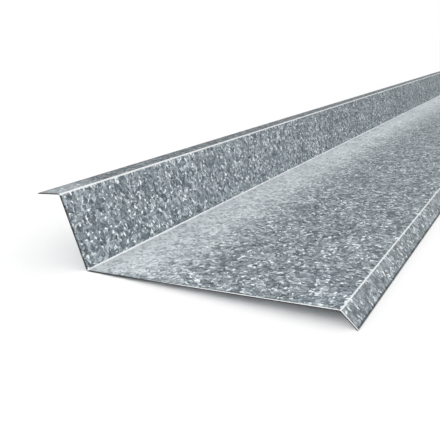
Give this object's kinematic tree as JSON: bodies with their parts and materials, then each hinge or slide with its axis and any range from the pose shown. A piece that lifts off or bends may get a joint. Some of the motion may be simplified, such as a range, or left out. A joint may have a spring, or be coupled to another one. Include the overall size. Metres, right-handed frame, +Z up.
{
  "type": "wall flashing",
  "caption": "Long folded strip of galvanised sheet steel with a narrow lip, a leaning upstand, a wide base and a turned-down drip edge, to weatherproof the join of a wall and a roof.",
  "frame": {"origin": "at floor level under the middle of the strip's footprint, with the strip lying on its heel fold and the drip's cut edge", "axes": "+Y along the strip, +X from the wall side to the drip, +Z up"},
  "size_m": [0.2558, 2, 0.0583],
  "materials": {
    "galvanised_sheet": "hot-dip galvanised, small spangle, dull metallic"
  },
  "bodies": {
    "root": {"wall_flashing": "galvanised_sheet"}
  },
  "joints": []
}
